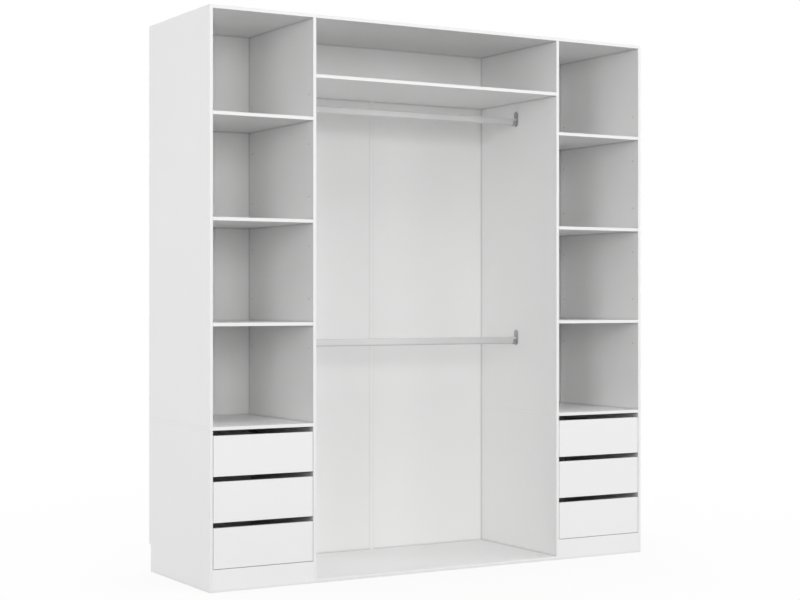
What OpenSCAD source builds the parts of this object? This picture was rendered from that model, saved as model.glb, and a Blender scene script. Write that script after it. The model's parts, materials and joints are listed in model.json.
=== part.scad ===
// Open-front wardrobe: two narrow towers with shelves and drawers, and a wide hanging bay between.
// X runs along the width, the front faces -Y, and the wardrobe stands on the floor at Z = 0.

/* [Carcass] */
// Height of the wardrobe
height = 2200; // [2000:10:2400]
// Depth from the front edges to the wall
depth = 600; // [590:5:660]
// Clear width inside each tower
tower_clear = 422; // [380:1:500]
// Clear width inside the centre bay
centre_clear = 1139; // [800:1:1400]
// Thickness of the uprights, shelves, tops and drawer fronts
board = 13; // [12:0.5:18]
// Thickness of the centre bay's floor panel
floor_board = 15; // [13:1:22]

/* [Shelves] */
// Distance between neighbouring tower shelves, from centre to centre
shelf_pitch = 397; // [340:1:420]
// Clear height above the hat shelf
hat_clear = 218; // [190:1:300]
// Gap at each end of a movable shelf
shelf_play = 0.3; // [0.1:0.1:0.5]

/* [Hanging rails] */
// Distance from the hat shelf down to the middle of the upper rail
upper_rail_drop = 84; // [70:1:120]
// Height of the middle of the lower rail above the floor
lower_rail_z = 920; // [850:5:1000]
// Height of the oval tube
rail_h = 30; // [26:1:36]
// Width of the oval tube
rail_w = 15; // [12:0.5:18]
// Wall of the oval tube
rail_wall = 1; // [0.8:0.1:1.5]
// Gap between the tube and its socket
rail_play = 0.3; // [0.2:0.1:0.5]
// Length of tube that each socket's cup holds
cup_reach = 18; // [12:1:24]
// Wall of the cup
cup_wall = 2; // [1.5:0.1:3]
// Thickness of the socket's plate
plate_t = 2.5; // [2:0.1:4]
// Width of the socket's plate
plate_w = 26; // [24:1:32]
// Reach of the plate above the tube's middle
plate_rise = 44; // [40:1:50]
// Reach of the plate below the tube's middle
plate_drop = 20; // [20:1:24]

/* [Plinth and back] */
// Height of the plinth boards
plinth_h = 85; // [60:1:120]
// Depth of the notch over the room's skirting board
skirting_t = 18; // [10:1:18]
// Height of the notch over the room's skirting board
skirting_h = 110; // [60:5:140]
// Thickness of the back panels
back_t = 3; // [2.5:0.5:4]
// Distance from the back panels to the wall
back_inset = 21; // [20:1:26]
// Depth of the grooves that hold the back panels
groove = 4; // [3:0.5:4.5]
// Play of a panel across its groove, on each side
groove_play = 0.2; // [0.1:0.05:0.3]
// Width of the strip that joins the two halves of the centre back
strip_w = 18; // [14:1:24]
// Wall of the joint strip
strip_wall = 1; // [0.8:0.1:1.4]

/* [Drawers] */
// Height of a drawer front
front_h = 153; // [140:1:170]
// Height of the open grip gap above each front
grip_gap = 20; // [16:1:30]
// Gap beside the fronts and under the lowest front
front_gap = 2; // [1.5:0.5:3]
// Length of the drawer box behind its front
box_len = 500; // [450:10:520]
// Height of the drawer box
box_h = 110; // [90:1:118]
// Distance from the bottom of the front up to the box
box_rise = 12; // [10:1:16]
// Thickness of the box's sides and back
box_board = 12; // [12:0.5:15]
// Thickness of the drawer base
base_t = 3; // [2.5:0.5:4]
// Height of the base's groove above the bottom of the box
base_rise = 10; // [8:1:16]

/* [Drawer runners] */
// Width that a runner takes between upright and drawer box
runner_t = 12.7; // [12.7:0.1:14]
// Height of the fixed track
track_h = 35; // [33:1:40]
// Gap between the back of a drawer front and its runners
runner_setback = 2; // [1:0.5:4]
// Distance from the runners' rear end to the back of the drawer box
runner_shortfall = 3; // [2:0.5:8]
// Distance that a drawer slides out
drawer_travel = 350; // [300:10:360]
// Thickness of the runner's sheet steel
sheet = 1.2; // [1:0.1:1.4]
// Diameter of the bearing balls
ball_d = 4.8; // [4.4:0.1:5]
// Gap between a ball and the runner's walls
ball_play = 0.25; // [0.1:0.05:0.3]
// Gap between the runner's sliding sheets
runner_gap = 0.5; // [0.3:0.1:0.6]
// Balls in each row of a cage
balls_per_row = 5; // [3:1:5]

/* [Fittings] */
// Distance from the front edge to the first column of holes
column_setback = 37; // [32:1:50]
// Distance between the two columns of holes
column_span = 512; // [480:32:512]
// Diameter of the system holes
hole_d = 5; // [5:0.1:5.5]
// Depth of the holes in an upright's face
hole_depth = 8.5; // [8:0.5:9]
// Diameter of a cam housing
cam_d = 12; // [10:0.5:14]
// Reach of a cam housing past the middle of its bolt
cam_above = 3.7; // [3.5:0.1:4]
// Distance from a panel's end to the middle of its cam
cam_reach = 24; // [20:1:34]
// Diameter of a cam bolt's shank
bolt_shank = 4; // [3.5:0.1:4.5]
// Diameter of a cam bolt's head
bolt_head = 6; // [5.5:0.1:6]
// Diameter of a dowel
dowel_d = 6; // [5:0.5:6]
// Length of a dowel in a panel's end
dowel_grip = 16; // [14:1:24]
// Diameter of a screw's core
screw_d = 3; // [2.8:0.1:3.2]
// Diameter of a screw's head
screw_head = 6; // [5.5:0.1:6.4]
// Length of the short screws
screw_len = 11.5; // [10:0.5:11.5]
// Length of the screws in the drawer backs
long_screw_len = 40; // [30:5:50]

/* [Hidden] */
$fn = 48;
eps = 1;                    // how far a cutter reaches past the face that it opens
fit = 0.1;                  // gap all round a fitting in its hole
hole_room = 0.5;            // room left at the end of a fitting's hole
bolt_head_len = 3;          // length of a cam bolt's head
bolt_past = 1;              // how far that head reaches past the middle of the cam
cam_slot = 1.5;             // depth of the cross slot in a cam
screw_tip = 0.6;            // diameter of a screw's tip
cam_colour = "darkgray";
shelf_count = 3;            // shelves in each tower
drawer_count = 3;           // drawers in each tower
hole_step = 32;             // spacing of the drilling system
spare_steps = 3;            // steps from a shelf's middle to the spare holes above and below it
shelf_back_gap = 1.5;       // gap between the movable shelves and the back
total_w = 2 * tower_clear + centre_clear + 4 * board;
front_y = -depth / 2;
rear_y = depth / 2;
back_y = rear_y - back_inset - back_t;

// Diameters of the holes for the fittings, and of those that a screw and its head pass freely
dowel_hole = dowel_d + 2 * fit;
bolt_hole = bolt_head + 2 * fit;
cam_hole = cam_d + 2 * fit;
screw_hole = screw_d + 2 * fit;
screw_clear = screw_d + 4 * fit;
head_clear = screw_head + 4 * fit;

// Low X of each upright, and low X and width of each bay
upright_x = [-total_w / 2, -centre_clear / 2 - board, centre_clear / 2, total_w / 2 - board];
bay_x = [for (x = [upright_x[0], upright_x[1], upright_x[2]]) x + board];
bay_w = [tower_clear, centre_clear, tower_clear];

// The lower uprights carry the chest tops, and the upper uprights stand on them
lower_h = plinth_h + front_gap + drawer_count * (front_h + grip_gap);
chest_h = lower_h + board;

// Heights of the panels' middles
top_z = height - board / 2;
bottom_z = plinth_h - board / 2;
hat_z = height - board - hat_clear - board / 2;
floor_z = floor_board / 2;
shelf_z = [for (i = [1:shelf_count]) top_z - i * shelf_pitch];
lowest_shelf_z = shelf_z[shelf_count - 1];
spare_hole_z = [for (z = shelf_z, side = [-1, 1]) z + side * spare_steps * hole_step];
hat_under = hat_z - board / 2;
upper_rail_z = hat_under - upper_rail_drop;
rail_z = [upper_rail_z, lower_rail_z];

// Levels at which each bay's panels are bolted to the uprights, and at which they are dowelled
bolted_z = [concat([top_z, bottom_z], shelf_z), [top_z, hat_z, floor_z], concat([top_z, bottom_z], shelf_z)];
dowelled_z = [[top_z, bottom_z], [top_z, hat_z, floor_z], [top_z, bottom_z]];

// The centre bay's fittings stand further in than the towers', so that none meet in a partition
column_shift = [0, 2 * hole_step, 0];
function bolt_y(bay) = [
    front_y + column_setback + column_shift[bay],
    front_y + column_setback + column_span - column_shift[bay]];
function dowel_y(bay) = [bolt_y(bay)[0] + hole_step, bolt_y(bay)[1] - hole_step];

// Upright dowels and bolts that pass through the chest tops and join both lengths of an upright
splice_dowel_y = [for (i = [1:3]) front_y + i * depth / 4];
splice_bolt_y = bolt_y(0);
splice_grip = 15;           // length of such a dowel in each length of an upright

// Front and width of the grooves for the backs, how far the backs reach into them, and their upper edge
groove_y = back_y - groove_play;
groove_w = back_t + 2 * groove_play;
back_seat = groove - groove_play;
back_top = height - board + back_seat;

// Plinth fittings: a dowel near the floor and a cam one hole step above it
plinth_y = front_y + board / 2;
plinth_dowel_z = 20;
plinth_cam_z = plinth_dowel_z + hole_step;

// Rail socket: one screw behind the tube's end and one in the ear above it
socket_screw_z = [0, plate_rise - plate_w / 2];
cup_top = 5;                // the cup is open from this height over the tube's middle

// Drawers, numbered from the top; heights are those of a front's lower edge
front_z = [for (i = [1:drawer_count]) lower_h - i * (front_h + grip_gap)];
front_w = tower_clear - 2 * front_gap;
box_w = tower_clear - 2 * runner_t;
box_y = front_y + board;
base_w = box_w - 2 * box_board + 2 * (groove - fit);
back_board_z = box_rise + base_rise + base_t + 2 * groove_play;
fitting_inset = 18;         // from the box's top edge down to its upper fittings
low_cam = 34;               // from the box's bottom edge up to its lower cams
drawer_cam_z = [box_rise + low_cam, box_rise + box_h - fitting_inset];
back_screw_z = [box_rise + fitting_inset + screw_head / 2, box_rise + box_h - fitting_inset];
back_screw_y = box_y + box_len - box_board / 2;
runner_len = box_len - runner_setback - runner_shortfall;
runner_y = box_y + runner_setback;
runner_z = box_rise + box_h / 2;
screw_inset = 40;           // from a runner's ends to its screws
runner_screw_y = [runner_y + screw_inset, runner_y + runner_len - screw_inset];

// Runner section, measured from the upright's face and from the runner's middle height
track_inner = track_h / 2 - sheet;
ball_z = track_inner - ball_play - ball_d / 2;
slider_outer = ball_z - ball_d / 2 - ball_play;
cage_t = 0.8;               // thickness of a cage's sheet
cage_x = sheet + runner_gap;
slider_x = cage_x + cage_t + runner_gap;
ball_x = slider_x + sheet + ball_play + ball_d / 2;
cage_edge = ball_x + ball_d / 2 + 2 * ball_play;
track_depth = cage_edge + sheet;
lip = sheet;                // height of the lips that keep the balls in their track

// The cages sit halfway along the closed runners and travel half as far as the drawers
cage_spare = 5;             // how much shorter a cage is than the runner's overlap when open
cage_len = runner_len - drawer_travel - cage_spare;
ball_pitch = cage_len / balls_per_row;
cage_y = runner_y + (runner_len - cage_len) / 2;

white = "white";
steel = "silver";

// Cylinder whose axis points along +X, +Y or back along them when turn is -1
module along_x(d, h, turn = 1) { rotate([0, 90 * turn, 0]) cylinder(d = d, h = h); }
module along_y(d, h, turn = 1) { rotate([-90 * turn, 0, 0]) cylinder(d = d, h = h); }

// Blind hole in a face that looks along X; into is 1 when the hole runs towards +X
module face_hole(x, y, z, into, d, deep) {
    translate([x - into * eps, y, z]) along_x(d, deep + eps, into);
}

// One length of upright number i, from z0 up to z1
module upright(i, z0, z1) {
    x = upright_x[i];
    color(white) difference() {
        translate([x, front_y, z0]) cube([board, depth, z1 - z0]);
        if (z0 == 0)
            translate([x - eps, rear_y - skirting_t, -eps])
                cube([board + 2 * eps, skirting_t + eps, skirting_h + eps]);
        // The right face looks into bay i, the left face into the bay before it
        if (i < 3) upright_face(x + board, i, -1, z0, z1);
        if (i > 0) upright_face(x, i - 1, 1, z0, z1);
        translate([x + board / 2, 0, 0]) splice_holes(z0 == 0);
    }
}

// Upright holes at X = 0 for the dowels and bolts that pass through a chest top
module splice_holes(lower) {
    for (y = splice_dowel_y) translate([0, y, lower_h - splice_grip - fit])
        cylinder(d = dowel_hole, h = board + 2 * (splice_grip + fit));
    for (y = splice_bolt_y) translate([0, y, 0])
        if (lower) translate([0, 0, lower_h - cam_reach]) cylinder(d = bolt_hole, h = cam_reach + eps);
        else translate([0, 0, chest_h - eps]) cylinder(d = hole_d, h = eps + hole_depth);
}

// Everything that is cut into one face of an upright
module upright_face(x, bay, into, z0, z1) {
    tower = bay != 1;
    translate([into > 0 ? x - eps : x - groove, groove_y, z0 - eps])
        cube([groove + eps, groove_w, z1 - z0 + 2 * eps]);
    for (z = bolted_z[bay], y = bolt_y(bay))
        if (z > z0 && z < z1) face_hole(x, y, z, into, hole_d, hole_depth);
    for (z = dowelled_z[bay], y = dowel_y(bay))
        if (z > z0 && z < z1) face_hole(x, y, z, into, dowel_hole, hole_depth);
    if (tower && z0 > 0)
        for (z = spare_hole_z, y = bolt_y(bay)) face_hole(x, y, z, into, hole_d, hole_depth);
    if (tower && z0 == 0) {
        face_hole(x, plinth_y, plinth_cam_z, into, hole_d, hole_depth);
        face_hole(x, plinth_y, plinth_dowel_z, into, dowel_hole, hole_depth);
        for (z = front_z, y = runner_screw_y)
            face_hole(x, y, z + runner_z, into, screw_hole, screw_len - sheet + fit);
        for (y = splice_bolt_y)
            face_hole(x, y, lower_h - cam_reach, into, cam_hole, board / 2 + cam_above + fit);
    }
    if (!tower)
        for (z = rail_z, dz = socket_screw_z)
            if (z > z0 && z < z1)
                face_hole(x, 0, z + dz, into, screw_hole, screw_len - plate_t + fit);
}

// Panel across a bay, drilled for its cams, bolts and dowels; play leaves a gap at each end
module panel(bay, z, y1, t = board, dowelled = true, play = 0) {
    color(white) difference() {
        translate([bay_x[bay] + play, front_y, z - t / 2]) cube([bay_w[bay] - 2 * play, y1 - front_y, t]);
        both_ends(bay) for (y = bolt_y(bay)) translate([-eps, y, z]) {
            along_x(bolt_hole, eps + cam_reach);
            translate([eps + cam_reach, 0, 0]) out_of_sight(z) cam_pocket(t / 2);
        }
        if (dowelled)
            both_ends(bay) for (y = dowel_y(bay)) translate([-eps, y, z])
                along_x(dowel_hole, eps + dowel_grip + fit);
    }
}

// Turns a cam or its pocket to the top of the panels above the lowest shelf; it is below on the others
module out_of_sight(z) { mirror([0, 0, z > lowest_shelf_z ? 1 : 0]) children(); }

// Round pocket for a cam whose face lies deep below the bolt's middle
module cam_pocket(deep) {
    translate([0, 0, -deep - eps]) cylinder(d = cam_hole, h = deep + eps + cam_above + fit);
}

// Panel of full depth, with a groove below that takes the back
module grooved_panel(bay, z) {
    color(white) difference() {
        panel(bay, z, rear_y);
        translate([bay_x[bay] - eps, groove_y, z - board / 2 - eps])
            cube([bay_w[bay] + 2 * eps, groove_w, groove + eps]);
    }
}

module top_panel(bay) { grooved_panel(bay, top_z); }
module hat_shelf() { grooved_panel(1, hat_z); }

// Chest top: it runs through between the lower and upper uprights of a tower, with a groove for the back
module chest_top(bay) {
    color(white) difference() {
        translate([bay_x[bay] - board, front_y, lower_h]) cube([bay_w[bay] + 2 * board, depth, board]);
        translate([bay_x[bay] - groove, groove_y, lower_h - eps])
            cube([bay_w[bay] + 2 * groove, groove_w, groove + eps]);
        // The groove of the centre bay's back runs on through the end that lies in a partition
        both_ends(1) translate([-groove, groove_y, lower_h - eps])
            cube([groove + eps, groove_w, board + 2 * eps]);
        both_ends(bay) translate([-board / 2, 0, lower_h - eps]) {
            for (y = splice_dowel_y) translate([0, y, 0]) cylinder(d = dowel_hole, h = board + 2 * eps);
            for (y = splice_bolt_y) translate([0, y, 0]) cylinder(d = bolt_hole, h = board + 2 * eps);
        }
    }
}

module shelf(bay, i) { panel(bay, shelf_z[i], back_y - shelf_back_gap, board, false, shelf_play); }
module centre_floor() { panel(1, floor_z, back_y, floor_board); }

// Bottom board of a tower, behind the plinth
module tower_bottom(bay) {
    difference() {
        panel(bay, bottom_z, back_y);
        translate([bay_x[bay] - eps, front_y - eps, 0])
            cube([bay_w[bay] + 2 * eps, board + eps, plinth_h + eps]);
    }
}

module tower_bottoms() { for (bay = [0, 2]) tower_bottom(bay); }
module plinths() { for (bay = [0, 2]) plinth(bay); }

// Plinth board, with a cam let in from behind at each end
module plinth(bay) {
    color(white) difference() {
        translate([bay_x[bay], front_y, 0]) cube([bay_w[bay], board, plinth_h]);
        both_ends(bay) translate([-eps, plinth_y, 0]) {
            translate([0, 0, plinth_cam_z]) along_x(bolt_hole, eps + cam_reach);
            translate([eps + cam_reach, 0, plinth_cam_z]) rotate([90, 0, 0]) cam_pocket(board / 2);
            translate([0, 0, plinth_dowel_z]) along_x(dowel_hole, eps + dowel_grip + fit);
        }
    }
}

// Thin back panel from x0 to x1 and from z0 up to z1, standing in the grooves
module back_panel(x0, x1, z0, z1) {
    color("whitesmoke") translate([x0, back_y, z0]) cube([x1 - x0, back_t, z1 - z0]);
}

// Back of a tower, one length below the chest top and one that stands on it
module tower_back(bay) {
    x0 = bay_x[bay] - back_seat;
    x1 = bay_x[bay] + bay_w[bay] + back_seat;
    back_panel(x0, x1, floor_z, lower_h + back_seat);
    back_panel(x0, x1, chest_h, back_top);
}

// Half of the centre back, up into the hat shelf's groove; side is -1 for the left half
module centre_back(side) {
    inner = strip_wall / 2 + groove_play;
    outer = centre_clear / 2 + back_seat;
    if (side < 0) back_panel(-outer, -inner, floor_z, hat_under + back_seat);
    if (side > 0) back_panel(inner, outer, floor_z, hat_under + back_seat);
}

// Part of the centre back that stands on the hat shelf
module centre_back_top() {
    outer = centre_clear / 2 + back_seat;
    back_panel(-outer, outer, hat_z + board / 2, back_top);
}

// Strip of H section that joins the two halves of the centre back, from the floor panel to the hat shelf
module back_joint_strip() {
    front = groove_y - strip_wall;
    color(white) translate([0, 0, floor_board]) linear_extrude(hat_under - floor_board) {
        translate([-strip_w / 2, front]) square([strip_w, strip_wall]);
        translate([-strip_w / 2, front + strip_wall + groove_w]) square([strip_w, strip_wall]);
        translate([-strip_wall / 2, front]) square([strip_wall, groove_w + 2 * strip_wall]);
    }
}

// Upright oval of width w and height h, in the XY plane
module oval(w, h) {
    for (side = [-1, 1]) translate([0, side * (h - w) / 2]) circle(d = w);
    square([w, h - w], center = true);
}

// Turns a flat outline (across, up) to stand across the X axis
module across_x() { rotate([90, 0, 90]) children(); }

module rail(z) {
    gap = plate_t + rail_play;
    color("gainsboro") translate([-centre_clear / 2 + gap, 0, z]) across_x()
        linear_extrude(centre_clear - 2 * gap) difference() {
            oval(rail_w, rail_h);
            oval(rail_w - 2 * rail_wall, rail_h - 2 * rail_wall);
        }
}

// Socket on the face of a partition that looks along +X: a plate with a screw ear, and a cup
module socket() {
    mid = (plate_rise - plate_drop) / 2;
    color(steel) difference() {
        union() {
            across_x() translate([0, mid]) linear_extrude(plate_t) oval(plate_w, plate_rise + plate_drop);
            across_x() linear_extrude(plate_t + cup_reach) difference() {
                oval(rail_w + 2 * (rail_play + cup_wall), rail_h + 2 * (rail_play + cup_wall));
                oval(rail_w + 2 * rail_play, rail_h + 2 * rail_play);
                translate([-plate_w / 2, cup_top]) square([plate_w, rail_h]);
            }
        }
        for (z = socket_screw_z) translate([0, 0, z]) {
            translate([-eps, 0, 0]) along_x(screw_clear, plate_t + 2 * eps);
            translate([plate_t, 0, 0]) screw_head_cut();
        }
    }
}

// Countersink for a screw head that lies flush with the face at X = 0 and points back along X
module screw_head_cut() {
    translate([-sheet, 0, 0]) rotate([0, 90, 0])
        cylinder(d1 = screw_clear, d2 = head_clear, h = sheet);
    along_x(head_clear, eps);
}

// Countersunk screw whose head's face lies at X = 0, with its point towards -X
module screw(len) {
    color(steel) difference() {
        union() {
            translate([-sheet, 0, 0]) rotate([0, 90, 0]) cylinder(d1 = screw_d, d2 = screw_head, h = sheet);
            translate([-len + screw_d, 0, 0]) along_x(screw_d, len - screw_d - sheet / 2);
            translate([-len, 0, 0]) rotate([0, 90, 0]) cylinder(d1 = screw_tip, d2 = screw_d, h = screw_d);
        }
        for (turn = [0, 90]) rotate([turn, 0, 0]) translate([-sheet / 2, -screw_d / 2, -screw_d / 10])
            cube([sheet, screw_d, screw_d / 5]);
    }
}

// Both ends of something that stands on the two facing sides of a bay
module both_ends(bay) {
    translate([bay_x[bay], 0, 0]) children();
    translate([bay_x[bay] + bay_w[bay], 0, 0]) mirror([1, 0, 0]) children();
}

module rail_sockets() { both_ends(1) for (z = rail_z) translate([0, 0, z]) socket(); }

// Short screws of the rail sockets and of the runner tracks
module screws() {
    both_ends(1) for (z = rail_z, dz = socket_screw_z) translate([plate_t, 0, z + dz]) screw(screw_len);
    for (bay = [0, 2]) both_ends(bay)
        for (z = front_z, y = runner_screw_y) translate([sheet, y, z + runner_z]) screw(screw_len);
}

// Cam bolt: its thread sits in the face at X = 0 and its head lies in the cam at X = reach
module cam_bolt(reach = cam_reach) {
    thread = hole_depth - hole_room;
    color(steel) {
        translate([-thread, 0, 0]) along_x(hole_d - 2 * fit, thread);
        along_x(bolt_shank, reach);
        translate([reach + bolt_past - bolt_head_len, 0, 0]) along_x(bolt_head, bolt_head_len);
    }
}

// Cam housing with its cross slot downwards; deep is the distance from its face to the bolt
module cam(deep) {
    color(cam_colour) difference() {
        translate([0, 0, -deep]) cylinder(d = cam_d, h = deep + cam_above);
        translate([-cam_d, 0, 0]) along_x(bolt_hole, cam_d + bolt_past + hole_room);
        for (turn = [0, 90]) rotate([0, 0, turn])
            translate([-cam_d / 4, -cam_d / 20, -deep - eps]) cube([cam_d / 2, cam_d / 10, eps + cam_slot]);
    }
}

// Cam bolts and cams of the panels, the plinths and the two lengths of each upright
module cam_fittings() {
    for (bay = [0:2]) both_ends(bay) for (z = bolted_z[bay], y = bolt_y(bay)) translate([0, y, z]) {
        cam_bolt();
        translate([cam_reach, 0, 0]) out_of_sight(z) cam(z == floor_z ? floor_board / 2 : board / 2);
    }
    for (bay = [0, 2]) both_ends(bay) translate([0, plinth_y, plinth_cam_z]) {
        cam_bolt();
        translate([cam_reach, 0, 0]) rotate([90, 0, 0]) cam(board / 2);
    }
    for (bay = [0, 2]) both_ends(bay) for (y = splice_bolt_y)
        translate([-board / 2, y, chest_h]) rotate([0, 90, 0]) {
            cam_bolt(board + cam_reach);
            translate([board + cam_reach, 0, 0]) mirror([0, 0, 1]) cam(board / 2);
        }
}

module dowels() {
    in_face = hole_depth - hole_room;
    color("burlywood") {
        for (bay = [0:2]) both_ends(bay) for (z = dowelled_z[bay], y = dowel_y(bay))
            translate([-in_face, y, z]) along_x(dowel_d, in_face + dowel_grip);
        for (bay = [0, 2]) both_ends(bay)
            translate([-in_face, plinth_y, plinth_dowel_z]) along_x(dowel_d, in_face + dowel_grip);
        for (x = upright_x, y = splice_dowel_y) translate([x + board / 2, y, lower_h - splice_grip])
            cylinder(d = dowel_d, h = board + 2 * splice_grip);
    }
}

// Runner track on an upright's face, a channel that opens towards the drawer
module track() {
    color(steel) translate([0, runner_y, runner_z]) difference() {
        rotate([90, 0, 0]) mirror([0, 0, 1]) linear_extrude(runner_len) {
            translate([0, -track_h / 2]) square([sheet, track_h]);
            for (side = [0, 1]) mirror([0, side]) {
                translate([0, track_inner]) square([track_depth, sheet]);
                translate([track_depth - sheet, track_inner - lip]) square([sheet, lip + sheet]);
            }
        }
        for (y = runner_screw_y) translate([sheet, y - runner_y, 0]) {
            translate([-2 * sheet, 0, 0]) along_x(screw_clear, 3 * sheet);
            screw_head_cut();
        }
    }
}

module runner_tracks() {
    for (bay = [0, 2]) both_ends(bay) for (z = front_z) translate([0, 0, z]) track();
}

// Runner slide on the drawer's side, a channel that opens towards the upright
module slider() {
    color(steel) translate([0, runner_y, runner_z]) difference() {
        rotate([90, 0, 0]) mirror([0, 0, 1]) linear_extrude(runner_len) {
            translate([runner_t - sheet, -slider_outer]) square([sheet, 2 * slider_outer]);
            for (side = [0, 1]) mirror([0, side]) {
                translate([slider_x, slider_outer - sheet]) square([runner_t - slider_x, sheet]);
                translate([slider_x, slider_outer - sheet]) square([sheet, sheet + lip]);
            }
        }
        for (y = runner_screw_y) translate([runner_t - sheet, y - runner_y, 0]) mirror([1, 0, 0]) {
            translate([-2 * sheet, 0, 0]) along_x(screw_clear, 3 * sheet);
            screw_head_cut();
        }
    }
}

// Ball cage: a channel of thin sheet with a row of balls along its top and its bottom
module cage() {
    translate([0, cage_y, runner_z]) {
        color("dimgray") difference() {
            rotate([90, 0, 0]) mirror([0, 0, 1]) linear_extrude(cage_len) {
                translate([cage_x, -ball_z]) square([cage_t, 2 * ball_z]);
                for (side = [-1, 1]) translate([cage_x, side * ball_z - cage_t / 2])
                    square([cage_edge - cage_x, cage_t]);
            }
            ball_places() cylinder(d = ball_d + 4 * fit, h = 4 * cage_t, center = true);
        }
        color(steel) ball_places() sphere(d = ball_d);
    }
}

module ball_places() {
    for (i = [0:balls_per_row - 1], side = [-1, 1])
        translate([ball_x, (i + 0.5) * ball_pitch, side * ball_z]) children();
}

module drawer_cages(bay, i) { both_ends(bay) translate([0, 0, front_z[i]]) cage(); }

// Drawer front, with a groove for the base and holes for the cam bolts in its back
module drawer_front(bay, i) {
    z = front_z[i];
    side_x = runner_t + box_board / 2;
    color(white) difference() {
        translate([bay_x[bay] + front_gap, front_y, z]) cube([front_w, board, front_h]);
        both_ends(bay) for (dz = drawer_cam_z)
            translate([side_x, box_y + eps, z + dz]) along_y(hole_d, hole_depth + eps, -1);
        translate([bay_x[bay] + (tower_clear - base_w) / 2 - fit, box_y - groove, z + box_rise + base_rise])
            cube([base_w + 2 * fit, groove + eps, base_t + 2 * groove_play]);
    }
}

// Turns a cam or its pocket so that its face looks into the drawer and its bolt comes from the front
module face_inwards() { rotate([0, 0, 90]) rotate([90, 0, 0]) mirror([0, 0, 1]) children(); }

// Side of the drawer box, seen from the upright at X = 0
module box_side() {
    x0 = runner_t;
    groove_x = x0 + box_board - groove;
    difference() {
        translate([x0, box_y, box_rise]) cube([box_board, box_len, box_h]);
        translate([groove_x, box_y - eps, box_rise + base_rise])
            cube([groove + eps, box_len + 2 * eps, base_t + 2 * groove_play]);
        for (dz = drawer_cam_z) {
            translate([x0 + box_board / 2, box_y - eps, dz]) along_y(bolt_hole, eps + cam_reach);
            translate([x0 + box_board / 2, box_y + cam_reach, dz]) face_inwards() cam_pocket(box_board / 2);
        }
        for (y = runner_screw_y)
            face_hole(x0, y, runner_z, 1, screw_hole, screw_len - sheet + fit);
        for (dz = back_screw_z) translate([x0, back_screw_y, dz]) {
            translate([-eps, 0, 0]) along_x(screw_hole, box_board + 2 * eps);
            mirror([1, 0, 0]) screw_head_cut();
        }
    }
}

// Drawer box: two sides, the back and the base
module drawer_box(bay, i) {
    z = front_z[i];
    inner_x = runner_t + box_board;
    back_h = box_rise + box_h - back_board_z;
    translate([0, 0, z]) {
        color("lightgray") {
            both_ends(bay) box_side();
            difference() {
                translate([bay_x[bay] + inner_x + fit, box_y + box_len - box_board, back_board_z])
                    cube([tower_clear - 2 * (inner_x + fit), box_board, back_h]);
                both_ends(bay) for (dz = back_screw_z)
                    face_hole(inner_x, back_screw_y, dz, 1, screw_hole,
                        long_screw_len - box_board + fit);
            }
        }
        color("whitesmoke") translate([bay_x[bay] + tower_clear / 2 - base_w / 2,
            box_y - groove + fit, box_rise + base_rise + groove_play])
            cube([base_w, box_len + groove - fit, base_t]);
    }
}

// Slides, screws, cam bolts and cams that travel with one drawer
module drawer_hardware(bay, i) {
    translate([0, 0, front_z[i]]) both_ends(bay) {
        slider();
        for (y = runner_screw_y) translate([runner_t - sheet, y, runner_z])
            mirror([1, 0, 0]) screw(screw_len);
        for (dz = back_screw_z) translate([runner_t, back_screw_y, dz])
            mirror([1, 0, 0]) screw(long_screw_len);
        for (dz = drawer_cam_z) translate([runner_t + box_board / 2, box_y, dz]) {
            rotate([0, 0, 90]) cam_bolt();
            translate([0, cam_reach, 0]) face_inwards() cam(box_board / 2);
        }
    }
}

upright(0, 0, lower_h);  // left_side_lower
upright(0, chest_h, height);  // left_side_upper
upright(1, 0, lower_h);  // left_partition_lower
upright(1, chest_h, height);  // left_partition_upper
upright(2, 0, lower_h);  // right_partition_lower
upright(2, chest_h, height);  // right_partition_upper
upright(3, 0, lower_h);  // right_side_lower
upright(3, chest_h, height);  // right_side_upper
top_panel(0);  // left_top
top_panel(1);  // centre_top
top_panel(2);  // right_top
chest_top(0);  // left_chest_top
chest_top(2);  // right_chest_top
tower_bottoms();
plinths();
hat_shelf();
centre_floor();
tower_back(0);  // left_back
tower_back(2);  // right_back
centre_back_top();
centre_back(-1);  // centre_back_left
centre_back(1);  // centre_back_right
back_joint_strip();
rail(upper_rail_z);  // upper_rail
rail(lower_rail_z);  // lower_rail
rail_sockets();
cam_fittings();
dowels();
runner_tracks();
screws();
for (i = [0:shelf_count - 1]) {
    shelf(0, i);
    shelf(2, i);
}
for (tower = [["left", 0], ["right", 2]], i = [0:drawer_count - 1]) {
    name = str(tower[0], "_drawer_", i + 1);
    drawer_front(tower[1], i);
    drawer_box(tower[1], i);
    drawer_hardware(tower[1], i);
    drawer_cages(tower[1], i);
}
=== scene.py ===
# Open-front wardrobe: its finishes, the plain studio around it and the camera.
import json
import math

import bpy
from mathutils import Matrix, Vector


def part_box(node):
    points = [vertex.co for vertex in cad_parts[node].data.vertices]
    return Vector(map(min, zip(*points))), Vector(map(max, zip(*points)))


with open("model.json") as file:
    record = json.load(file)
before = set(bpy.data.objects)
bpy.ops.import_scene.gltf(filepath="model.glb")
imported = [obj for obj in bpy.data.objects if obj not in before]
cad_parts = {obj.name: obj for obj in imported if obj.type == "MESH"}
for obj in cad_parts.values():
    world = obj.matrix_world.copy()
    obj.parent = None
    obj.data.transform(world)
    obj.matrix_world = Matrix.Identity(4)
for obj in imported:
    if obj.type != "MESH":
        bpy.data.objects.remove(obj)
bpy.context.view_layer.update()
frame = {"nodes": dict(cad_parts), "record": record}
nodes = frame["nodes"]
print("frame loaded:", len(nodes), "nodes")


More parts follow.
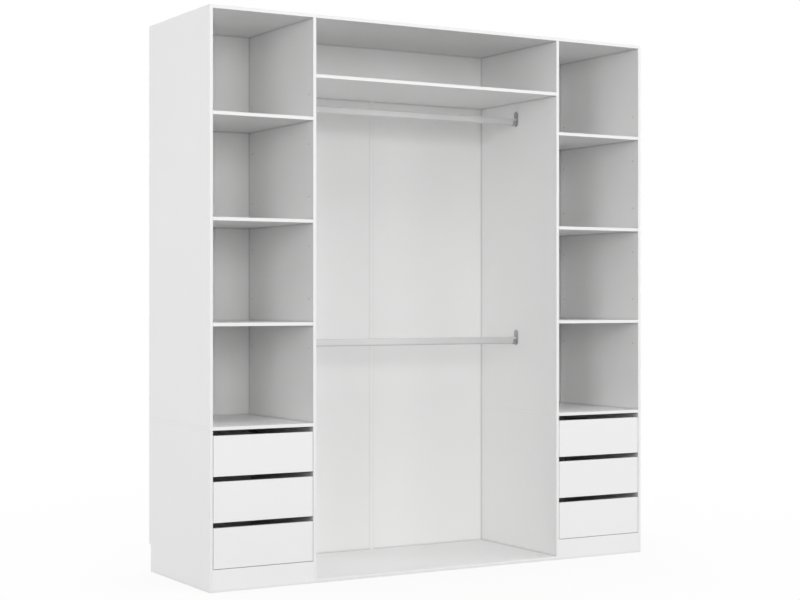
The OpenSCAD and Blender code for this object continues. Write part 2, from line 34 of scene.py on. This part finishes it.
# Camera: its place and farthest view in metres, its turn from +Y towards +X and its tilt in degrees,
# its focal length in pixels of an image of that width, and its sensor's width in millimetres
camera = {
    "place": (-3.559, -6.0445, 1.092), "turn": 30.359, "tilt": 0.024,
    "focal": 1672.15, "imageWidth": 800, "sensor": 36.0, "farthest": 100.0}


def makeCamera():
    lens = bpy.data.cameras.new("camera")
    lens.sensor_width = camera["sensor"]
    lens.lens = camera["focal"] * camera["sensor"] / camera["imageWidth"]
    lens.clip_end = camera["farthest"]
    stand = bpy.data.objects.new("camera", lens)
    stand.location = camera["place"]
    stand.rotation_euler = (math.radians(90 + camera["tilt"]), 0, math.radians(-camera["turn"]))
    bpy.context.scene.collection.objects.link(stand)
    bpy.context.scene.camera = stand


makeCamera()
print("camera placed")


# A socket of a material's nodes that can be used in sums
class Value:
    def __init__(self, tree, socket=None):
        self.tree = tree
        self.socket = socket

    # Adds a node: its settings come first, then the values or links of its sockets
    def add(self, kind, settings=None, sockets=None, output=0):
        made = self.tree.nodes.new(kind)
        for name, setting in (settings or {}).items():
            setattr(made, name, setting)
        for name, value in (sockets or {}).items():
            if isinstance(value, Value):
                self.tree.links.new(value.socket, made.inputs[name])
            else:
                made.inputs[name].default_value = value
        return Value(self.tree, made.outputs[output] if len(made.outputs) else None)

    def maths(self, operation, first, second=0.0):
        return self.add("ShaderNodeMath", {"operation": operation}, {0: first, 1: second})

    def __add__(self, other):
        return self.maths("ADD", self, other)

    def __radd__(self, other):
        return self.maths("ADD", other, self)

    def __sub__(self, other):
        return self.maths("SUBTRACT", self, other)

    def __rsub__(self, other):
        return self.maths("SUBTRACT", other, self)

    def __mul__(self, other):
        return self.maths("MULTIPLY", self, other)

    def __rmul__(self, other):
        return self.maths("MULTIPLY", other, self)

    def __abs__(self):
        return self.maths("ABSOLUTE", self)

    def __gt__(self, other):
        return self.maths("GREATER_THAN", self, other)

    def smaller(self, other):
        return self.maths("MINIMUM", self, other)

    def larger(self, other):
        return self.maths("MAXIMUM", self, other)

    # 0 below low, 1 above high, straight between them
    def between(self, low, high):
        sockets = {"Value": self, "From Min": low, "From Max": high}
        return self.add("ShaderNodeMapRange", None, sockets)

    # Noise, which lies around 0.5, as patches of 0 and 1 that blend: a smaller reach is harder
    def patches(self, reach=0.2):
        return self.between(0.5 - reach, 0.5 + reach)

    # Noise as a number that varies around a middle
    def around(self, middle, spread):
        return middle + (self - 0.5) * spread

    # Colour that goes from the first to the second as this value goes from 0 to 1: a Mix node has
    # its colours at inputs 6 and 7 and its mixed colour at output 2
    def mix(self, first, second):
        colours = [c if isinstance(c, Value) else (*c, 1.0) for c in (first, second)]
        sockets = {"Factor": self, 6: colours[0], 7: colours[1]}
        return self.add("ShaderNodeMix", {"data_type": "RGBA"}, sockets, 2)

    def vectorMaths(self, operation, sockets):
        return self.add("ShaderNodeVectorMath", {"operation": operation}, sockets)

    # Colour times a share of light between 0 and 1
    def shaded(self, share):
        return self.vectorMaths("SCALE", {0: self, "Scale": share})

    def parts(self):
        split = self.add("ShaderNodeSeparateXYZ", None, {"Vector": self})
        return [Value(self.tree, socket) for socket in split.socket.node.outputs]


def newMaterial(name):
    material = bpy.data.materials.new(name)
    material.use_nodes = True
    material.node_tree.nodes.clear()
    return material, Value(material.node_tree)


# Place on the object in metres, stretched so that grain can run along one axis
def placeOn(start, stretch=(1.0, 1.0, 1.0)):
    place = start.add("ShaderNodeTexCoord", output="Object")
    return start.vectorMaths("MULTIPLY", {0: place, 1: stretch})


def noise(start, place, scale=1.0, detail=2.0):
    sockets = {"Vector": place, "Scale": scale, "Detail": detail}
    return start.add("ShaderNodeTexNoise", None, sockets)


def bump(start, height, distance, normal=None):
    sockets = {"Height": height, "Distance": distance}
    if normal:
        sockets["Normal"] = normal
    return start.add("ShaderNodeBump", None, sockets)


def normalParts(start):
    return start.add("ShaderNodeNewGeometry", output="Normal").parts()


# 1 in the open, and less where something within reach covers the surface: with ownOnly, nothing
# but the piece itself counts
def openness(start, reach, samples, ownOnly=False):
    settings = {"samples": samples, "only_local": ownOnly}
    return start.add("ShaderNodeAmbientOcclusion", settings, {"Distance": reach}, "AO")


# Colour that fades a little in broad patches
def drifting(start, colour, keeps, scale):
    faded = tuple(channel * keeps for channel in colour)
    return noise(start, placeOn(start), scale).patches().mix(faded, colour)


def finishWith(start, sockets):
    shader = start.add("ShaderNodeBsdfPrincipled", None, sockets)
    start.add("ShaderNodeOutputMaterial", None, {"Surface": shader})


# Raw chipboard, where a hole, groove or notch cuts into a coated board
chipboard = {
    "pale": (0.62, 0.50, 0.36), "dark": (0.38, 0.28, 0.18), "roughness": 0.9, "patchReach": 0.15,
    "flakes": 420.0, "flakeDetail": 4.0, "flakeShare": 0.7, "dust": 1900.0}

# White melamine board: faces, edge strips, whose thickness shows along a face as a darker band,
# partly the strip's own tone and partly painted shade of the joints, and pearl grain
board = {
    "face": (0.870, 0.870, 0.868), "edge": (0.855, 0.855, 0.853), "drift": 0.985, "driftScale": 1.7,
    "grainScale": 620.0, "grainRelief": 0.00004, "grainGloss": 0.12,
    "faceRoughness": 0.42, "edgeRoughness": 0.40, "edgeRadius": 0.0008, "edgeSamples": 4,
    "stripThickness": 0.0009, "stripToneAndShadeKeeps": 0.95, "cutDepth": 0.0004}

# Smooth board of the drawer boxes, in a greyer coating that is partly painted shade: its grey is
# set dark so that the grip gaps show dark
drawerBoard = dict(board, face=(0.66, 0.66, 0.658), edge=(0.70, 0.70, 0.698))

# Painted shade in corners, where boards meet and inside holes: how far it reaches from the corner
# and how much colour it keeps there
cornerShade = {"reach": 0.010, "keeps": 0.76, "samples": 6}


def chipboardColour(start):
    place = placeOn(start)
    flakes = noise(start, place, chipboard["flakes"], chipboard["flakeDetail"])
    dust = noise(start, place, chipboard["dust"])
    mixed = flakes * chipboard["flakeShare"] + dust * (1 - chipboard["flakeShare"])
    return mixed.patches(chipboard["patchReach"]).mix(chipboard["dark"], chipboard["pale"])


# Painted shade: the colour darkens in corners as much as they are hidden within reach, and a
# corner, half open, is darkest. No painted shade shows where a board stands on the floor, and a
# board that slides out has the painted shade of its own corners alone
def withPaintedCornerShade(start, colour, slides=False):
    clear = openness(start, cornerShade["reach"], cornerShade["samples"], slides).between(0.5, 1.0)
    foot = 1 - placeOn(start).parts()[2].between(0.0, cornerShade["reach"])
    return colour.shaded(clear.larger(foot) * (1.0 - cornerShade["keeps"]) + cornerShade["keeps"])


# Depth of a point inside a node's own box, along each axis
def depthsIn(start, node):
    low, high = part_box(node)
    middle, half = (low + high) / 2, (high - low) / 2
    away = start.vectorMaths("SUBTRACT", {0: placeOn(start), 1: middle})
    reach = start.vectorMaths("ABSOLUTE", {0: away})
    return start.vectorMaths("SUBTRACT", {0: half, 1: reach}).parts()


# Coating of a board: strip is 1 on its edge strips, rim is 1 where their thickness shows, darkened
# partly as the strip's own tone and partly as painted shade of the joints, and cut is 1 in raw
# chipboard
def coat(start, look, strip, rim=0.0, cut=None, slides=False):
    face, edge = [drifting(start, look[part], look["drift"], look["driftScale"])
                  for part in ("face", "edge")]
    grain = noise(start, placeOn(start), look["grainScale"])
    colour = strip.mix(face, edge)
    smooth = strip * (look["edgeRoughness"] - look["faceRoughness"]) + look["faceRoughness"]
    roughness = grain.around(smooth, look["grainGloss"])
    if cut:
        # The rim is darkened: partly the strip's own tone, partly painted shade of the joints
        coated = colour.shaded(1 - rim * (1 - look["stripToneAndShadeKeeps"]))
        colour = cut.mix(coated, chipboardColour(start))
        roughness = roughness + (chipboard["roughness"] - roughness) * cut
    settings = {"samples": look["edgeSamples"]}
    rounded = start.add("ShaderNodeBevel", settings, {"Radius": look["edgeRadius"]})
    finishWith(start, {
        # Base colour with painted shade in its corners
        "Base Color": withPaintedCornerShade(start, colour, slides),
        "Roughness": roughness,
        "Normal": bump(start, grain, look["grainRelief"], rounded)})


# One white board: an upright or level one has its edge strips in front and behind, a front has
# them all round
def boardMaterial(node, slides):
    low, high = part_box(node)
    size = high - low
    material, start = newMaterial(node + "_coating")
    frontal = abs(normalParts(start)[1])
    strip = 1 - frontal if size.y < min(size.x, size.z) else frontal
    x, y, z = depthsIn(start, node)
    fromEdge = x.smaller(y).larger(x.larger(y).smaller(z))  # middle one of the three depths
    rim = (1 - strip) * (1 - (fromEdge > board["stripThickness"]))
    cut = x.smaller(y).smaller(z) > board["cutDepth"]
    coat(start, board, strip, rim, cut, slides)
    return material


# Drawer boxes, whose boards carry their edge strip on top
def drawerBoxMaterial():
    material, start = newMaterial("drawer_coating")
    coat(start, drawerBoard, abs(normalParts(start)[2]), slides=True)
    return material


# Hardboard backs: painted front, and a raw brown reverse, towards +Y, with its screen pattern
hardboard = {
    "paint": (0.865, 0.865, 0.862), "paintRoughness": 0.5, "grainGloss": 0.1,
    "raw": (0.33, 0.21, 0.12), "rawDark": (0.24, 0.15, 0.08), "rawRoughness": 0.85,
    "fibres": (260.0, 1.0, 90.0), "fibreDetail": 5.0, "screenPitch": 1400.0, "relief": 0.00008}


def hardboardMaterial():
    material, start = newMaterial("painted_hardboard")
    reverse = normalParts(start)[1] > 0.5
    fibres = noise(start, placeOn(start, hardboard["fibres"]), detail=hardboard["fibreDetail"])
    paint = drifting(start, hardboard["paint"], board["drift"], board["driftScale"])
    raw = fibres.patches().mix(hardboard["rawDark"], hardboard["raw"])
    screen = noise(start, placeOn(start), hardboard["screenPitch"])
    grain = noise(start, placeOn(start), board["grainScale"])
    rougher = hardboard["rawRoughness"] - hardboard["paintRoughness"]
    smooth = reverse * rougher + hardboard["paintRoughness"]
    finishWith(start, {
        # Base colour with painted shade in its corners
        "Base Color": withPaintedCornerShade(start, reverse.mix(paint, raw)),
        "Roughness": grain.around(smooth, hardboard["grainGloss"]),
        "Normal": bump(start, grain * (1 - reverse) + screen * reverse, hardboard["relief"])})
    return material


# Plain plastic of the strip between the centre backs
plastic = {
    "colour": (0.86, 0.86, 0.857), "drift": 0.98, "driftScale": 6.0,
    "roughness": 0.38, "grainScale": 900.0, "grainGloss": 0.1, "relief": 0.00002}


def plasticMaterial():
    material, start = newMaterial("strip_plastic")
    grain = noise(start, placeOn(start), plastic["grainScale"])
    finishWith(start, {
        "Base Color": drifting(start, plastic["colour"], plastic["drift"], plastic["driftScale"]),
        "Roughness": grain.around(plastic["roughness"], plastic["grainGloss"]),
        "Normal": bump(start, grain, plastic["relief"])})
    return material


# Metals: colour in light and dark patches, gloss and its spread, and the marks of brushing or
# casting, which run along the axis with the smallest stretch
metals = {
    "rail": {
        "light": (0.66, 0.66, 0.66), "dark": (0.62, 0.62, 0.62), "metallic": 0.2,
        "roughness": 0.45, "spread": 0.10, "stretch": (6.0, 900.0, 900.0), "relief": 0.00002},
    "socket": {
        "light": (0.50, 0.50, 0.505), "dark": (0.40, 0.40, 0.405), "metallic": 1.0,
        "roughness": 0.34, "spread": 0.10, "stretch": (120.0, 120.0, 120.0), "relief": 0.00003},
    "cam": {
        "light": (0.60, 0.60, 0.59), "dark": (0.46, 0.46, 0.46), "metallic": 1.0,
        "roughness": 0.45, "spread": 0.20, "stretch": (500.0, 500.0, 500.0), "relief": 0.00006},
    "runner": {
        "light": (0.68, 0.69, 0.70), "dark": (0.55, 0.56, 0.58), "metallic": 1.0,
        "roughness": 0.34, "spread": 0.16, "stretch": (180.0, 14.0, 180.0), "relief": 0.00003},
    "cage": {
        "light": (0.56, 0.57, 0.58), "dark": (0.44, 0.45, 0.46), "metallic": 1.0,
        "roughness": 0.28, "spread": 0.12, "stretch": (200.0, 60.0, 200.0), "relief": 0.00002},
    "screw": {
        "light": (0.66, 0.67, 0.68), "dark": (0.50, 0.51, 0.52), "metallic": 1.0,
        "roughness": 0.32, "spread": 0.15, "stretch": (400.0, 400.0, 400.0), "relief": 0.00003}}


def metalMaterial(name):
    look = metals[name]
    material, start = newMaterial(name + "_metal")
    marks = noise(start, placeOn(start, look["stretch"]), detail=4.0)
    finishWith(start, {
        "Base Color": marks.patches().mix(look["dark"], look["light"]),
        "Metallic": look["metallic"],
        "Roughness": marks.around(look["roughness"], look["spread"]),
        "Normal": bump(start, marks, look["relief"])})
    return material


# Beech dowels, with grain along X
dowel = {
    "light": (0.72, 0.53, 0.34), "dark": (0.55, 0.37, 0.21), "roughness": 0.6, "patchReach": 0.15,
    "grain": (40.0, 700.0, 700.0), "grainDetail": 4.0, "grainGloss": 0.2, "relief": 0.0001}


def dowelMaterial():
    material, start = newMaterial("beech")
    grain = noise(start, placeOn(start, dowel["grain"]), detail=dowel["grainDetail"])
    finishWith(start, {
        "Base Color": grain.patches(dowel["patchReach"]).mix(dowel["dark"], dowel["light"]),
        "Roughness": grain.around(dowel["roughness"], dowel["grainGloss"]),
        "Normal": bump(start, grain, dowel["relief"])})
    return material


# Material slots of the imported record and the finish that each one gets
slotOf = {part["node"]: part["material_slot"] for part in frame["record"]["subparts"]}
finishes = {
    "drawer_board": drawerBoxMaterial(), "back_board": hardboardMaterial(),
    "joint_strip": plasticMaterial(), "rail_steel": metalMaterial("rail"),
    "socket_metal": metalMaterial("socket"), "cam_metal": metalMaterial("cam"),
    "runner_steel": metalMaterial("runner"), "cage_steel": metalMaterial("cage"),
    "screw_steel": metalMaterial("screw"), "dowel_wood": dowelMaterial()}
fixed = frame["record"]["behaviour"]["bodies"]["root"]

for name, node in sorted(nodes.items()):
    slot = slotOf[name]
    finish = boardMaterial(name, name not in fixed) if slot == "white_board" else finishes[slot]
    node.data.materials.clear()
    node.data.materials.append(finish)
print("finishes given")


# Studio: a white floor that keeps a soft shadow, an even white sky, and soft lamps that are aimed
# at one point unless they have their own. Places and sizes are in metres, powers in watts
studio = {
    "floorSize": 60.0, "floorColour": 0.35, "sky": 0.49, "aim": (0.0, 0.0, 1.1),
    "shadow": 0.92, "shadowReach": 4.0, "shadowSamples": 8}
lamps = {
    "far left": {"place": (-6.42, -5.39, 2.50), "size": (1.8, 2.85), "power": 95.0},
    "left": {"place": (-3.68, -7.54, 2.50), "size": (1.8, 2.85), "power": 79.0},
    "front": {"place": (0.0, -8.38, 2.50), "size": (1.8, 2.85), "power": 75.0},
    "right": {"place": (4.81, -6.87, 2.50), "size": (1.8, 2.85), "power": 64.0},
    "far right": {"place": (14.52, -8.38, 3.90), "size": (3.6, 5.7), "power": 960.0},
    "above": {"place": (-0.99, -5.60, 7.42), "size": (2.6, 3.3), "power": 88.0},
    "side": {"place": (-8.0, 2.5, 0.8), "size": (3.0, 2.0), "power": 221.0, "aim": (-1.0, 0.0, 0.9)},
    "behind": {"place": (4.2, 7.3, 1.1), "size": (3.6, 2.0), "power": 230.0}}


# 1 for what the camera sees, straight or in gloss or glass, and 0 for what lights the object
def seen(start):
    outputs = start.add("ShaderNodeLightPath").socket.node.outputs
    rays = ("Is Camera Ray", "Is Glossy Ray", "Is Transmission Ray")
    straight, gloss, glass = [Value(start.tree, outputs[ray]) for ray in rays]
    return (straight + gloss + glass).smaller(1.0)


# Surface that lights the object as one shader and is seen as another
def litAndSeen(start, lit, shown):
    return start.add("ShaderNodeMixShader", None, {"Fac": seen(start), 1: lit, 2: shown})


# Where the object hides the sky from the floor, its white goes down to the shadow's strength
def makeFloor():
    half = studio["floorSize"] / 2
    mesh = bpy.data.meshes.new("floor")
    corners = [(-half, -half, 0), (half, -half, 0), (half, half, 0), (-half, half, 0)]
    mesh.from_pydata(corners, [], [(0, 1, 2, 3)])
    floor = bpy.data.objects.new("floor", mesh)
    bpy.context.scene.collection.objects.link(floor)
    material, start = newMaterial("floor_white")
    tone = studio["floorColour"]
    plain = start.add("ShaderNodeBsdfDiffuse", None, {"Color": (tone, tone, tone, 1.0)})
    clear = openness(start, studio["shadowReach"], studio["shadowSamples"])
    shade, white = [start.add("ShaderNodeEmission", None, {"Strength": strength})
                    for strength in (studio["shadow"], 1.0)]
    shown = start.add("ShaderNodeMixShader", None, {"Fac": clear, 1: shade, 2: white})
    start.add("ShaderNodeOutputMaterial", None, {"Surface": litAndSeen(start, plain, shown)})
    mesh.materials.append(material)


def makeSky():
    world = bpy.data.worlds.new("sky")
    world.use_nodes = True
    world.node_tree.nodes.clear()
    start = Value(world.node_tree)
    white = (1.0, 1.0, 1.0, 1.0)
    lit, shown = [start.add("ShaderNodeBackground", None, {"Color": white, "Strength": strength})
                  for strength in (studio["sky"], 1.0)]
    start.add("ShaderNodeOutputWorld", None, {"Surface": litAndSeen(start, lit, shown)})
    bpy.context.scene.world = world


# No lamp shows in the boards' gloss, so that none of them glares from any side
def makeLamp(name, facts):
    light = bpy.data.lights.new(name, "AREA")
    light.shape = "RECTANGLE"
    light.size, light.size_y = facts["size"]
    light.energy = facts["power"]
    lamp = bpy.data.objects.new(name, light)
    lamp.location = facts["place"]
    towards = Vector(facts.get("aim", studio["aim"])) - lamp.location
    lamp.rotation_euler = towards.to_track_quat("-Z", "Y").to_euler()
    lamp.visible_glossy = False
    bpy.context.scene.collection.objects.link(lamp)


makeFloor()
makeSky()
for name, facts in lamps.items():
    makeLamp(name, facts)
bpy.context.scene.view_settings.view_transform = "Standard"
print("studio ready")
